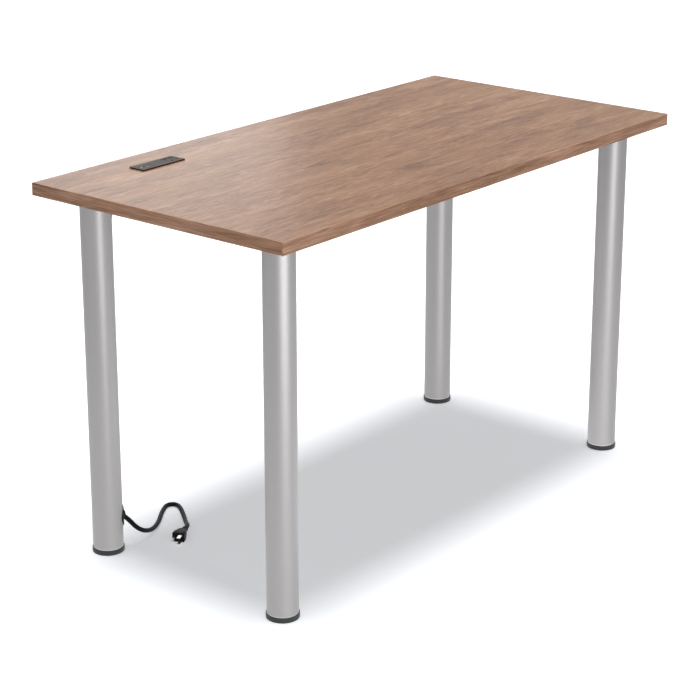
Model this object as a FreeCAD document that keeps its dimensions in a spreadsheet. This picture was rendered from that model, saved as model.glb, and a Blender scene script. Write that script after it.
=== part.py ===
import FreeCAD, Part
import math
import os
import re
import Sketcher

# Writing desk: a laminated top on four tubular legs, with a power module let into the top.
# Millimetres. The origin is on the floor under the middle of the top. X runs along the top,
# to the right of a person at the front edge, Y runs to the rear edge and Z is up.

SIZES = {
    # Top
    "desk_height": 731.5,
    "top_length": 1206.5,
    "top_depth": 602,
    "top_thickness": 23.8,
    "laminate_thickness": 0.8,
    "backer_thickness": 0.6,
    "edge_band_thickness": 2,
    "edge_band_round": 0.7,
    # Legs
    "leg_diameter": 58.6,
    "leg_wall": 1.5,
    "leg_inset_x": 80,
    "leg_inset_y": 79.2,
    # Leg mounts
    "mount_flange_margin": 19.7,
    "mount_flange_thickness": 4,
    "mount_boss_height": 20,
    "mount_boss_wall": 5,
    "mount_boss_clearance": 0.15,
    "mount_screw_margin": 9.7,
    "mount_screw_diameter": 4.5,
    "mount_screw_head": 8.6,
    "mount_screw_head_height": 2.6,
    "mount_screw_bite": 14,
    "set_screw_diameter": 6,
    "set_screw_length": 8,
    "set_screw_drop": 11,
    "set_screw_socket": 3,
    # Levelling feet
    "foot_height": 10,
    "foot_travel": 15,
    "pad_overhang": 1.5,
    "pad_gap": 0.3,
    "pad_sole": 2.5,
    "pad_lower_round": 1.2,
    "pad_upper_round": 0.6,
    "pad_lip": 2,
    "stem_diameter": 10,
    "stem_head_diameter": 18,
    "stem_head_clearance": 0.4,
    "stem_head_play": 0.2,
    "stem_spare": 2,
    "stem_chamfer": 1,
    "stem_thread_clearance": 0.08,
    "insert_height": 32,
    "insert_clearance": 0.1,
    "insert_bore_clearance": 0.6,
    "nut_width": 17,
    "nut_height": 8,
    "nut_clearance": 0.1,
    # Fastener fits
    "screw_clearance": 0.25,
    "pilot_clearance": 0.05,
    "pilot_spare": 1,
    # Power module
    "module_inset_x": 240.2,
    "module_inset_y": 82,
    "housing_length": 104,
    "housing_width": 30.5,
    "housing_wall": 1.8,
    "housing_drop": 24.2,
    "cutout_clearance": 0.5,
    "bezel_lip": 3.5,
    "bezel_height": 2.5,
    "bezel_corner_round": 1.5,
    "bezel_edge_round": 0.8,
    "skirt_depth": 4,
    "skirt_wall": 1.2,
    "case_clearance": 0.1,
    "base_thickness": 2.5,
    "cover_post_radius": 3.2,
    "cover_post_height": 11,
    "cover_post_sink": 0.8,
    "case_screw_diameter": 2.9,
    "case_screw_head": 5.4,
    "case_screw_head_height": 1.7,
    "case_screw_bite": 8,
    "bracket_width": 22,
    "bracket_height": 17,
    "bracket_reach": 20,
    "bracket_thickness": 1.5,
    "bracket_screw_reach": 12,
    "bracket_screw_drop": 9.4,
    "bracket_screw_diameter": 3.5,
    "bracket_screw_head": 6.8,
    "bracket_screw_head_height": 2,
    "bracket_screw_bite": 11,
    # Outlet
    "outlet_end_gap": 0.4,
    "outlet_length": 30,
    "outlet_width": 23,
    "outlet_depth": 24,
    "outlet_face": 3,
    "outlet_recess": 0.4,
    "outlet_shoulder": 0.5,
    "outlet_post_inset": 7,
    "outlet_base_thickness": 2,
    "blade_spacing": 12.7,
    "blade_shift": 5.5,
    "ground_spacing": 11.9,
    "slot_width": 2.3,
    "line_slot": 7.1,
    "neutral_slot": 8.6,
    "ground_hole": 5.3,
    "contact_width": 5,
    "contact_length": 9,
    "contact_wall": 1.5,
    "contact_web": 2,
    "contact_clearance": 0.3,
    "ground_contact_wall": 0.7,
    # Charging ports
    "board_end_gap": 1.2,
    "port_spacing": 17,
    "port_length": 13.1,
    "port_width": 5.7,
    "port_depth": 14,
    "port_wall": 0.4,
    "port_recess": 0.2,
    "port_clearance": 0.2,
    "tongue_length": 9,
    "tongue_width": 1.8,
    "tongue_height": 12.4,
    "tongue_shift": 1.1,
    "board_length": 32,
    "board_width": 23,
    "board_thickness": 1.6,
    "board_post_radius": 1.8,
    "board_post_inset_x": 8,
    "board_post_inset_y": 1.8,
    "transformer_length": 14,
    "transformer_width": 12,
    "transformer_height": 11,
    "transformer_shift": 5,
    "capacitor_radius": 4,
    "capacitor_height": 10,
    "capacitor_shift": 9,
    # Cord and wires
    "cord_diameter": 9.2,
    "cord_clearance": 0.2,
    "cord_bend": 40,
    "cord_entry_drop": 42.1,
    "cord_exit_height": 67,
    "cord_exit_heading": -20,
    "cord_exit_reach": 6,
    "jacket_inside": 8,
    "relief_length": 28,
    "relief_wall": 2.6,
    "relief_tip_wall": 1.2,
    "relief_neck_wall": 1.6,
    "relief_flange_wall": 3.6,
    "relief_flange_thickness": 2,
    "wire_radius": 1.2,
    "wire_bend": 5,
    "wire_spread": 2.8,
    "wire_lead": 15,
    "wire_approach": 25,
    "grommet_hole": 20,
    "entry_flange": 30,
    "exit_flange": 42,
    "grommet_rim": 2,
    "grommet_boss": 24,
    "grommet_dome": 5,
    "grommet_tip": 18,
    "grommet_lip": 25,
    "grommet_lip_thickness": 3,
    "grommet_clearance": 0.1,
    # Plug
    "floor_gap": 0.1,
    "plug_relief_length": 16,
    "plug_relief_wall": 1,
    "plug_relief_end_wall": 3,
    "plug_relief_groove": 0.7,
    "plug_relief_rib": 2.4,
    "plug_body_length": 26,
    "plug_shoulder_length": 9,
    "plug_width": 25,
    "plug_height": 20,
    "plug_grip": 4,
    "plug_round": 4,
    "blade_thickness": 1.5,
    "blade_width": 6.35,
    "blade_length": 17.5,
    "ground_pin_radius": 2.4,
    "ground_pin_length": 20,
    "blade_root": 6,
}

# The free cord's route from the rear left leg's axis, in millimetres: across, back and up.
# FLOOR is a point on the floor and PLUG a point on the axis of the lying plug.
FLOOR = "cord_diameter/2 + floor_gap"
PLUG = "plug_height/2 + floor_gap"
CORD_LEAD = 15
CORD_ROUTE = [
    (54, -19, "35"),
    (68, -21, "23"),
    (85, -19, "14.6"),
    (105, -13, "8.6"),
    (126, -3, "5.6"),
    (149, 11, FLOOR),
    (173, 29, FLOOR),
    (191, 41, FLOOR),
    (206, 49.5, FLOOR),
    (217.5, 52, FLOOR),
    (227, 45.5, FLOOR),
    (227.5, 34, FLOOR),
    (220.5, 20.5, FLOOR),
    (209, 4.5, FLOOR),
    (196, -12.5, FLOOR),
    (182, -29.5, FLOOR),
    (169.5, -45, "7"),
    (160, -57, PLUG),
    (147, -63, PLUG),
]
RUN_SHARE = 0.45
CORD_SLANT = math.radians(45)

CORNERS = {
    "rear_left": (-1, 1),
    "rear_right": (1, 1),
    "front_left": (-1, -1),
    "front_right": (1, -1),
}

# Heights and places that several pieces share
UNDERSIDE = "(desk_height - top_thickness)"
LEG_RADIUS = "(leg_diameter/2)"
LEG_BORE = "(leg_diameter/2 - leg_wall)"
MODULE_X = "(module_inset_x - top_length/2)"
MODULE_Y = "(top_depth/2 - module_inset_y)"
HOUSING_BOTTOM = f"({UNDERSIDE} - housing_drop)"
INNER_LENGTH = "(housing_length - 2*housing_wall)"
INNER_WIDTH = "(housing_width - 2*housing_wall)"
OUTLET_END = f"({INNER_LENGTH}/2 - case_clearance - skirt_wall - outlet_end_gap)"
OUTLET_OFFSET = f"({OUTLET_END} - outlet_shoulder - outlet_length/2)"
PORT_OFFSET = f"(board_end_gap + board_length/2 - {INNER_LENGTH}/2)"
CORD_LEVEL = f"({UNDERSIDE} - housing_drop/2)"
CORD_RADIUS = "(cord_diameter/2)"
CORD_BORE = f"({CORD_RADIUS} + cord_clearance)"
OUTLET_TOP = "(desk_height + bezel_height - outlet_recess)"
OUTLET_BOTTOM = f"({OUTLET_TOP} - outlet_depth)"
OUTLET_BASE_BOTTOM = f"({OUTLET_BOTTOM} - outlet_base_thickness)"
CONTACT_HEIGHT = "(outlet_depth - outlet_face - contact_clearance)"
GROUND_SHIFT = "(blade_shift - ground_spacing)"
BOARD_TOP = "(desk_height + bezel_height - port_recess - port_depth)"
BOARD_BOTTOM = f"({BOARD_TOP} - board_thickness)"

Vector = FreeCAD.Vector
UP = Vector(0, 0, 1)
document = FreeCAD.newDocument("writing_desk")
sizes = document.addObject("Spreadsheet::Sheet", "sizes")
for row, (name, value) in enumerate(SIZES.items(), start=1):
    sizes.set(f"A{row}", name)
    sizes.set(f"B{row}", str(value))
    sizes.setAlias(f"B{row}", name)
document.recompute()
SIZE_NAMES = re.compile(r"\b(" + "|".join(SIZES) + r")\b")
nodes = []


def amount(expression):
    """Gives the number that an expression in the sheet's names stands for."""
    return float(sizes.evalExpression(str(expression)))


def linked(expression):
    """Writes an expression in the sheet's names as other objects read it."""
    return SIZE_NAMES.sub(r"sizes.\1", str(expression))


def bind(target, **expressions):
    """Ties properties of an object to expressions."""
    for name, expression in expressions.items():
        target.setExpression(name, linked(expression))


def place(target, x="0", y="0", z="0"):
    """Ties an object's position to expressions."""
    for axis, expression in zip("xyz", (x, y, z)):
        target.setExpression(f"Placement.Base.{axis}", linked(expression))


def keep(target, label):
    """Names a finished piece, which is then written to a file of that name."""
    target.Label = label
    nodes.append(target)
    return target


# Sketches
def new_body(name):
    return document.addObject("PartDesign::Body", name)


def new_sketch(body, plane, lift="0", heading=None):
    """Sketch on one of the body's own planes, lifted off it, or turned about the upright axis."""
    planes = {feature.Role: feature for feature in body.Origin.OriginFeatures}
    sketch = body.newObject("Sketcher::SketchObject", "sketch")
    sketch.AttachmentSupport = [(planes[plane], "")]
    sketch.MapMode = "FlatFace"
    if lift != "0":
        sketch.setExpression("AttachmentOffset.Base.z", linked(lift))
    if heading:
        turn = FreeCAD.Rotation(Vector(0, 1, 0), amount(heading))
        sketch.AttachmentOffset = FreeCAD.Placement(Vector(), turn)
        sketch.setExpression("AttachmentOffset.Rotation.Angle", linked(heading))
    return sketch


def dimension(sketch, kind, references, expression):
    constraint = Sketcher.Constraint(kind, *references, amount(expression))
    number = sketch.addConstraint(constraint)
    sketch.setExpression(f"Constraints[{number}]", linked(expression))


def pin_point(sketch, geometry, point, x, y):
    """Ties a sketch point's two coordinates to expressions, or puts it on an axis."""
    for kind, axis, expression in (("DistanceX", -2, x), ("DistanceY", -1, y)):
        if expression == "0":
            sketch.addConstraint(Sketcher.Constraint("PointOnObject", geometry, point, axis))
        else:
            dimension(sketch, kind, (-1, 1, geometry, point), expression)


def outline(sketch, corners):
    """Closed outline of straight lines through corners given as pairs of expressions."""
    points = [Vector(amount(x), amount(y), 0) for x, y in corners]
    first = sketch.GeometryCount
    count = len(corners)
    for index in range(count):
        sketch.addGeometry(Part.LineSegment(points[index], points[(index + 1) % count]))
    for index in range(count):
        before = first + (index - 1) % count
        sketch.addConstraint(Sketcher.Constraint("Coincident", before, 2, first + index, 1))
    for index, (x, y) in enumerate(corners):
        pin_point(sketch, first + index, 1, x, y)


def rectangle(sketch, length, width, x="0", y="0"):
    left, right = f"{x} - ({length})/2", f"{x} + ({length})/2"
    near, far = f"{y} - ({width})/2", f"{y} + ({width})/2"
    outline(sketch, [(left, near), (right, near), (right, far), (left, far)])


def circle(sketch, radius, x="0", y="0"):
    middle = Vector(amount(x), amount(y), 0)
    number = sketch.addGeometry(Part.Circle(middle, UP, amount(radius)))
    dimension(sketch, "Radius", (number,), radius)
    pin_point(sketch, number, 3, x, y)


# Features
HEX_CORNER = 2 / math.sqrt(3)
HEAD_CROWN, HEAD_SIDE = 0.6, 0.4
RECESS_REACH, RECESS_HALF_WIDTH, RECESS_DEPTH = 0.5, 0.14, 0.5


def pad(body, sketch, length, against_normal=False):
    feature = body.newObject("PartDesign::Pad", "pad")
    feature.Profile = sketch
    feature.Reversed = against_normal
    bind(feature, Length=length)
    document.recompute()
    return feature


def pocket(body, sketch, depth, along_normal=False):
    """Cuts a sketch into the body, against the sketch's normal unless told otherwise."""
    before = body.Shape.Volume
    feature = body.newObject("PartDesign::Pocket", "pocket")
    feature.Profile = sketch
    feature.Reversed = along_normal
    bind(feature, Length=depth)
    document.recompute()
    if body.Shape.Volume >= before:
        raise ValueError(f"a cut in {body.Name} took nothing away")
    return feature


def round_edges(body, radius, chosen):
    """Rounds the edges of the body that a test picks."""
    base = body.Tip
    edges = base.Shape.Edges
    names = [f"Edge{number}" for number, edge in enumerate(edges, 1) if chosen(edge.BoundBox)]
    feature = body.newObject("PartDesign::Fillet", "fillet")
    feature.Base = (base, names)
    bind(feature, Radius=radius)
    body.Tip = feature
    document.recompute()


def turned(name, profile):
    """Body turned about its own upright axis from a half outline of radius and height."""
    body = new_body(name)
    sketch = new_sketch(body, "XZ_Plane")
    outline(sketch, profile)
    feature = body.newObject("PartDesign::Revolution", "turning")
    feature.Profile = sketch
    feature.ReferenceAxis = (sketch, ["V_Axis"])
    feature.Angle = 360
    document.recompute()
    return body


def block(name, length, width, height, x, y, z):
    """Rectangular body whose underside has its middle at x, y, z."""
    body = new_body(name)
    sketch = new_sketch(body, "XY_Plane")
    rectangle(sketch, length, width)
    pad(body, sketch, height)
    place(body, x, y, z)
    return body


def hexagon(name, width, height, x="0", y="0", z="0"):
    """Upright hexagonal bar of a given width across its flats."""
    prism = document.addObject("Part::Prism", name)
    bind(prism, Circumradius=f"({width})/2*{HEX_CORNER}", Height=height)
    place(prism, x, y, z)
    return prism


def near(first, second):
    return abs(first - second) < 0.01


def copies(label, blank, placements):
    """Separate solids of one shape, each at its own placement, kept as one group."""
    solids = []
    for placement in placements:
        solid = blank.Shape.copy()
        solid.Placement = placement
        solids.append(solid)
    group = document.addObject("Part::Feature", label)
    group.Shape = Part.makeCompound(solids)
    return keep(group, label)


def upright(x, y, z):
    return FreeCAD.Placement(Vector(amount(x), amount(y), amount(z)), FreeCAD.Rotation())


def screw_blank(name, diameter, length, head, head_height):
    """Pan head screw that points up, with its head's seat at height zero and a cross recess."""
    core = f"({diameter})/2"
    rim = f"({head})/2"
    body = turned(name, [
        ("0", f"-({head_height})"),
        (f"{HEAD_CROWN}*{rim}", f"-({head_height})"),
        (rim, f"-{HEAD_SIDE}*({head_height})"),
        (rim, "0"),
        (core, "0"),
        (core, f"({length}) - ({diameter})"),
        ("0", length),
    ])
    arm, half = f"{RECESS_REACH}*{rim}", f"{RECESS_HALF_WIDTH}*{rim}"
    sketch = new_sketch(body, "XY_Plane", lift=f"-({head_height})")
    outline(sketch, [
        (half, arm), (f"-{half}", arm), (f"-{half}", half), (f"-{arm}", half),
        (f"-{arm}", f"-{half}"), (f"-{half}", f"-{half}"), (f"-{half}", f"-{arm}"),
        (half, f"-{arm}"), (half, f"-{half}"), (arm, f"-{half}"), (arm, half), (half, half),
    ])
    pocket(body, sketch, f"{RECESS_DEPTH}*({head_height})", along_normal=True)
    return body


# Places of the legs, the screws and the module's parts
def leg_spot(corner):
    side, end = CORNERS[corner]
    return f"{side}*(top_length/2 - leg_inset_x)", f"{end}*(top_depth/2 - leg_inset_y)"


def mount_screw_spots():
    spots = []
    reach = f"({LEG_RADIUS} + mount_screw_margin)"
    for corner in CORNERS:
        x, y = leg_spot(corner)
        for across, back in ((1, 0), (0, 1), (-1, 0), (0, -1)):
            spots.append((f"{x} + {across}*{reach}", f"{y} + {back}*{reach}"))
    return spots


BRACKET_SCREW_Y = "(housing_width/2 + bracket_thickness + bracket_screw_reach)"
BRACKET_SCREW_SPOTS = [(MODULE_X, f"{MODULE_Y} + {side}*{BRACKET_SCREW_Y}") for side in (1, -1)]
COVER_SCREW_X = f"({INNER_LENGTH}/2 - cover_post_radius + cover_post_sink)"
COVER_SCREW_Y = f"({INNER_WIDTH}/2 - cover_post_radius + cover_post_sink)"
MOUNT_SCREW_RADIUS = "(mount_screw_diameter/2)"
BRACKET_SCREW_RADIUS = "(bracket_screw_diameter/2)"
CASE_SCREW_RADIUS = "(case_screw_diameter/2)"


# Top
def panel_layer(label, thickness, z, mount_depth=None, bracket_depth=None):
    """One layer of the top, with the module's opening and, where given, the screw holes."""
    length = "top_length - 2*edge_band_thickness"
    width = "top_depth - 2*edge_band_thickness"
    layer = block(label, length, width, thickness, "0", "0", z)
    opening = new_sketch(layer, "XY_Plane")
    rectangle(opening, "housing_length + 2*cutout_clearance",
              "housing_width + 2*cutout_clearance", MODULE_X, MODULE_Y)
    pocket(layer, opening, thickness, along_normal=True)
    drillings = [
        (mount_depth, mount_screw_spots(), MOUNT_SCREW_RADIUS),
        (bracket_depth, BRACKET_SCREW_SPOTS, BRACKET_SCREW_RADIUS),
    ]
    for depth, spots, radius in drillings:
        if depth:
            holes = new_sketch(layer, "XY_Plane")
            for x, y in spots:
                circle(holes, f"{radius} + pilot_clearance", x, y)
            pocket(layer, holes, depth, along_normal=True)
    return keep(layer, label)


def edge_band(label, along_x, side):
    """Band glued over one edge of the panel, with its outer arrises eased."""
    if along_x:
        middle = f"{side}*(top_depth/2 - edge_band_thickness/2)"
        band = block(label, "top_length", "edge_band_thickness", "top_thickness", "0", middle, UNDERSIDE)
    else:
        middle = f"{side}*(top_length/2 - edge_band_thickness/2)"
        length = "top_depth - 2*edge_band_thickness"
        band = block(label, "edge_band_thickness", length, "top_thickness", middle, "0", UNDERSIDE)
    outer = side * amount("edge_band_thickness/2")

    def outer_arris(box):
        low, high = (box.YMin, box.YMax) if along_x else (box.XMin, box.XMax)
        return near(low, outer) and near(high, outer) and near(box.ZLength, 0)

    round_edges(band, "edge_band_round", outer_arris)
    return keep(band, label)


def top():
    board = "top_thickness - laminate_thickness - backer_thickness"
    panel_layer("bottom_backer", "backer_thickness", UNDERSIDE, "backer_thickness", "backer_thickness")
    panel_layer("panel_core", board, f"{UNDERSIDE} + backer_thickness",
                "mount_screw_bite - backer_thickness + pilot_spare",
                "bracket_screw_bite - backer_thickness + pilot_spare")
    panel_layer("top_laminate", "laminate_thickness", "desk_height - laminate_thickness")
    edge_band("edge_band_front", True, -1)
    edge_band("edge_band_rear", True, 1)
    edge_band("edge_band_left", False, -1)
    edge_band("edge_band_right", False, 1)


# Legs
TUBE_TOP = f"({UNDERSIDE} - mount_flange_thickness)"
SET_SCREW_LEVEL = f"({TUBE_TOP} - set_screw_drop)"
CORD_ENTRY_LEVEL = f"({UNDERSIDE} - cord_entry_drop)"


def leg_tube(corner):
    """Round tube with a radial hole for its set screw, and the cord's two holes in one leg."""
    x, y = leg_spot(corner)
    tube = new_body(f"leg_tube_{corner}")
    ring = new_sketch(tube, "XY_Plane")
    circle(ring, LEG_RADIUS)
    circle(ring, LEG_BORE)
    pad(tube, ring, f"{TUBE_TOP} - foot_height")
    drilling = new_sketch(tube, "XZ_Plane")
    circle(drilling, "set_screw_diameter/2 + screw_clearance", "0", f"{SET_SCREW_LEVEL} - foot_height")
    pocket(tube, drilling, LEG_RADIUS, along_normal=CORNERS[corner][1] > 0)
    if corner == "rear_left":
        holes = ((CORD_ENTRY_LEVEL, None), ("cord_exit_height", "cord_exit_heading"))
        for level, heading in holes:
            hole = new_sketch(tube, "YZ_Plane", heading=heading)
            circle(hole, "grommet_hole/2", "0", f"{level} - foot_height")
            pocket(tube, hole, LEG_RADIUS, along_normal=True)
    place(tube, x, y, "foot_height")
    return keep(tube, f"leg_tube_{corner}")


def leg_mount(corner):
    """Screwed-on flange with a hollow boss that the tube slides over."""
    x, y = leg_spot(corner)
    flange = f"({LEG_RADIUS} + mount_flange_margin)"
    boss = f"({LEG_BORE} - mount_boss_clearance)"
    hollow = f"({boss} - mount_boss_wall)"
    seat, end = "-mount_flange_thickness", "-(mount_flange_thickness + mount_boss_height)"
    mount = turned(f"leg_mount_{corner}", [
        ("0", "0"), (flange, "0"), (flange, seat), (boss, seat),
        (boss, end), (hollow, end), (hollow, seat), ("0", seat),
    ])
    hole = new_sketch(mount, "XY_Plane")
    circle(hole, f"{MOUNT_SCREW_RADIUS} + screw_clearance", f"{LEG_RADIUS} + mount_screw_margin")
    first = pocket(mount, hole, "mount_flange_thickness")
    axes = {feature.Role: feature for feature in mount.Origin.OriginFeatures}
    ring = mount.newObject("PartDesign::PolarPattern", "screw_ring")
    ring.Originals = [first]
    ring.Axis = (axes["Z_Axis"], [""])
    ring.Angle = 360
    ring.Occurrences = 4
    mount.Tip = ring
    document.recompute()
    drilling = new_sketch(mount, "XZ_Plane")
    circle(drilling, "set_screw_diameter/2 + pilot_clearance", "0", f"{seat} - set_screw_drop")
    pocket(mount, drilling, boss, along_normal=CORNERS[corner][1] > 0)
    place(mount, x, y, UNDERSIDE)
    return keep(mount, f"leg_mount_{corner}")


def leg_fasteners():
    screw = screw_blank("mount_screw", "mount_screw_diameter",
                        "mount_flange_thickness + mount_screw_bite",
                        "mount_screw_head", "mount_screw_head_height")
    copies("mount_screws", screw, [upright(x, y, TUBE_TOP) for x, y in mount_screw_spots()])
    grub = document.addObject("Part::Cylinder", "set_screw_bar")
    bind(grub, Radius="set_screw_diameter/2", Height="set_screw_length")
    socket = hexagon("set_screw_key", "set_screw_socket", "set_screw_length/2")
    set_screw = document.addObject("Part::Cut", "set_screw")
    set_screw.Base = grub
    set_screw.Tool = socket
    document.recompute()
    placements = []
    for corner, (_, end) in CORNERS.items():
        x, y = leg_spot(corner)
        spot = Vector(amount(x), amount(f"{y} - {end}*{LEG_RADIUS}"), amount(SET_SCREW_LEVEL))
        inward = FreeCAD.Rotation(UP, Vector(0, end, 0))
        placements.append(FreeCAD.Placement(spot, inward))
    copies("leg_set_screws", set_screw, placements)


# Levelling feet
STEM_RADIUS = "(stem_diameter/2)"
STEM_HEAD_RADIUS = "(stem_head_diameter/2)"
HEAD_BOTTOM = "(pad_sole + stem_head_play)"
PAD_TOP = "(foot_height - pad_gap)"
HEAD_TOP = f"({PAD_TOP} - pad_lip - stem_head_play)"
NUT_BOTTOM = "(foot_height + insert_height - nut_height)"


def foot_insert(corner):
    """Plug pressed into the tube's lower end, with a hexagonal seat for the nut on top."""
    x, y = leg_spot(corner)
    outer = f"({LEG_BORE} - insert_clearance)"
    bore = f"({STEM_RADIUS} + insert_bore_clearance)"
    plug = turned(f"insert_blank_{corner}", [
        (bore, "0"), (outer, "0"), (outer, "insert_height"), (bore, "insert_height"),
    ])
    place(plug, x, y, "foot_height")
    seat = hexagon(f"nut_seat_{corner}", "nut_width + 2*nut_clearance", "nut_height", x, y, NUT_BOTTOM)
    insert = document.addObject("Part::Cut", f"foot_insert_{corner}")
    insert.Base = plug
    insert.Tool = seat
    document.recompute()
    return keep(insert, f"foot_insert_{corner}")


def foot_stem(corner):
    """Threaded stem, drawn plain, with a flat head held in the pad."""
    x, y = leg_spot(corner)
    top_end = "(foot_height + insert_height + foot_travel + stem_spare)"
    stem = turned(f"foot_stem_{corner}", [
        ("0", HEAD_BOTTOM), (STEM_HEAD_RADIUS, HEAD_BOTTOM), (STEM_HEAD_RADIUS, HEAD_TOP),
        (STEM_RADIUS, HEAD_TOP), (STEM_RADIUS, f"{top_end} - stem_chamfer"),
        (f"{STEM_RADIUS} - stem_chamfer", top_end), ("0", top_end),
    ])
    place(stem, x, y)
    return keep(stem, f"foot_stem_{corner}")


def foot_pad(corner):
    """Round sole with a pocket in which the stem's head turns."""
    x, y = leg_spot(corner)
    rim = f"({LEG_RADIUS} + pad_overhang)"
    room = f"({STEM_HEAD_RADIUS} + stem_head_clearance)"
    mouth = f"({STEM_RADIUS} + stem_head_clearance)"
    ceiling = f"({PAD_TOP} - pad_lip)"
    sole = turned(f"foot_pad_{corner}", [
        ("0", "0"), (rim, "0"), (rim, PAD_TOP), (mouth, PAD_TOP),
        (mouth, ceiling), (room, ceiling), (room, "pad_sole"), ("0", "pad_sole"),
    ])
    width, height = amount(f"2*{rim}"), amount(PAD_TOP)
    round_edges(sole, "pad_lower_round",
                lambda box: near(box.XLength, width) and near(box.ZMax, 0))
    round_edges(sole, "pad_upper_round",
                lambda box: near(box.XLength, width) and near(box.ZMin, height))
    place(sole, x, y)
    return keep(sole, f"foot_pad_{corner}")


def foot_nuts():
    bar = hexagon("nut_bar", "nut_width", "nut_height")
    bore = document.addObject("Part::Cylinder", "nut_bore")
    bind(bore, Radius=f"{STEM_RADIUS} + stem_thread_clearance", Height="nut_height")
    nut = document.addObject("Part::Cut", "nut")
    nut.Base = bar
    nut.Tool = bore
    document.recompute()
    copies("foot_nuts", nut, [upright(*leg_spot(corner), NUT_BOTTOM) for corner in CORNERS])


# Power module case
BRACKET_SCREW_LEVEL = f"({UNDERSIDE} - bracket_screw_drop)"
RELIEF_Y = f"({leg_spot('rear_left')[1]} - {MODULE_Y})"


def module_bezel():
    """Plate on the top, with openings for the outlet and the ports and a skirt into the housing."""
    length, width = "housing_length + 2*bezel_lip", "housing_width + 2*bezel_lip"
    bezel = block("module_bezel", length, width, "bezel_height", MODULE_X, MODULE_Y, "desk_height")
    height = amount("bezel_height")
    round_edges(bezel, "bezel_corner_round", lambda box: near(box.ZLength, height))
    round_edges(bezel, "bezel_edge_round", lambda box: near(box.ZMin, height))
    openings = new_sketch(bezel, "XY_Plane")
    rectangle(openings, "outlet_length + 2*case_clearance", "outlet_width + 2*case_clearance",
              OUTLET_OFFSET)
    for side in (-1, 1):
        rectangle(openings, "port_length + 2*port_clearance", "port_width + 2*port_clearance",
                  f"{PORT_OFFSET} + {side}*port_spacing/2")
    pocket(bezel, openings, "bezel_height", along_normal=True)
    skirt = new_sketch(bezel, "XY_Plane")
    for inset in ("case_clearance", "(case_clearance + skirt_wall)"):
        rectangle(skirt, f"{INNER_LENGTH} - 2*{inset}", f"{INNER_WIDTH} - 2*{inset}")
    pad(bezel, skirt, "skirt_depth", against_normal=True)
    return keep(bezel, "module_bezel")


def module_housing():
    """Sleeve through the top, open above and below, with two posts for the base's screws."""
    height = "top_thickness + housing_drop"
    housing = new_body("module_housing")
    walls = new_sketch(housing, "XY_Plane")
    rectangle(walls, "housing_length", "housing_width")
    rectangle(walls, INNER_LENGTH, INNER_WIDTH)
    pad(housing, walls, height)
    posts = new_sketch(housing, "XY_Plane")
    screws = new_sketch(housing, "XY_Plane")
    for side in (-1, 1):
        spot = f"{side}*{COVER_SCREW_X}", f"{side}*{COVER_SCREW_Y}"
        circle(posts, "cover_post_radius", *spot)
        circle(screws, f"{CASE_SCREW_RADIUS} + pilot_clearance", *spot)
    pad(housing, posts, "cover_post_height")
    pocket(housing, screws, "case_screw_bite + pilot_spare", along_normal=True)
    relief = new_sketch(housing, "YZ_Plane")
    circle(relief, f"{CORD_RADIUS} + relief_neck_wall + case_clearance", RELIEF_Y, "housing_drop/2")
    pocket(housing, relief, "housing_length/2")
    for towards_front in (True, False):
        drilling = new_sketch(housing, "XZ_Plane")
        level = f"{BRACKET_SCREW_LEVEL} - {HOUSING_BOTTOM}"
        circle(drilling, f"{CASE_SCREW_RADIUS} + pilot_clearance", "0", level)
        pocket(housing, drilling, "housing_width/2", along_normal=towards_front)
    place(housing, MODULE_X, MODULE_Y, HOUSING_BOTTOM)
    return keep(housing, "module_housing")


def module_base():
    """Cover under the housing, with posts that carry the charging board and the outlet."""
    base = block("module_base", "housing_length", "housing_width", "base_thickness",
                 MODULE_X, MODULE_Y, f"{HOUSING_BOTTOM} - base_thickness")
    carried = [
        (PORT_OFFSET, "(board_length/2 - board_post_inset_x)", BOARD_BOTTOM),
        (OUTLET_OFFSET, "(outlet_length/2 - outlet_post_inset)", OUTLET_BASE_BOTTOM),
    ]
    for middle, reach, level in carried:
        posts = new_sketch(base, "XY_Plane")
        for across in (-1, 1):
            for back in (-1, 1):
                circle(posts, "board_post_radius", f"{middle} + {across}*{reach}",
                       f"{back}*(board_width/2 - board_post_inset_y)")
        pad(base, posts, f"{level} - {HOUSING_BOTTOM} + base_thickness")
    holes = new_sketch(base, "XY_Plane")
    for side in (-1, 1):
        circle(holes, f"{CASE_SCREW_RADIUS} + screw_clearance",
               f"{side}*{COVER_SCREW_X}", f"{side}*{COVER_SCREW_Y}")
    pocket(base, holes, "base_thickness", along_normal=True)
    return keep(base, "module_base")


def module_brackets():
    """Two angle brackets that tie the housing's long sides to the underside of the top."""
    bracket = new_body("bracket")
    angle = new_sketch(bracket, "YZ_Plane", lift="-bracket_width/2")
    outline(angle, [
        ("0", "0"), ("bracket_thickness + bracket_reach", "0"),
        ("bracket_thickness + bracket_reach", "-bracket_thickness"),
        ("bracket_thickness", "-bracket_thickness"),
        ("bracket_thickness", "-bracket_height"), ("0", "-bracket_height"),
    ])
    pad(bracket, angle, "bracket_width")
    upper = new_sketch(bracket, "XY_Plane")
    circle(upper, f"{BRACKET_SCREW_RADIUS} + screw_clearance",
           "0", f"{BRACKET_SCREW_Y} - housing_width/2")
    pocket(bracket, upper, "bracket_thickness")
    side_hole = new_sketch(bracket, "XZ_Plane")
    circle(side_hole, f"{CASE_SCREW_RADIUS} + screw_clearance", "0", f"{BRACKET_SCREW_LEVEL} - {UNDERSIDE}")
    pocket(bracket, side_hole, "bracket_thickness")
    placements = []
    for side, turn in ((1, 0), (-1, 180)):
        spot = Vector(amount(MODULE_X), amount(f"{MODULE_Y} + {side}*housing_width/2"), amount(UNDERSIDE))
        placements.append(FreeCAD.Placement(spot, FreeCAD.Rotation(UP, turn)))
    copies("module_brackets", bracket, placements)


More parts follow.
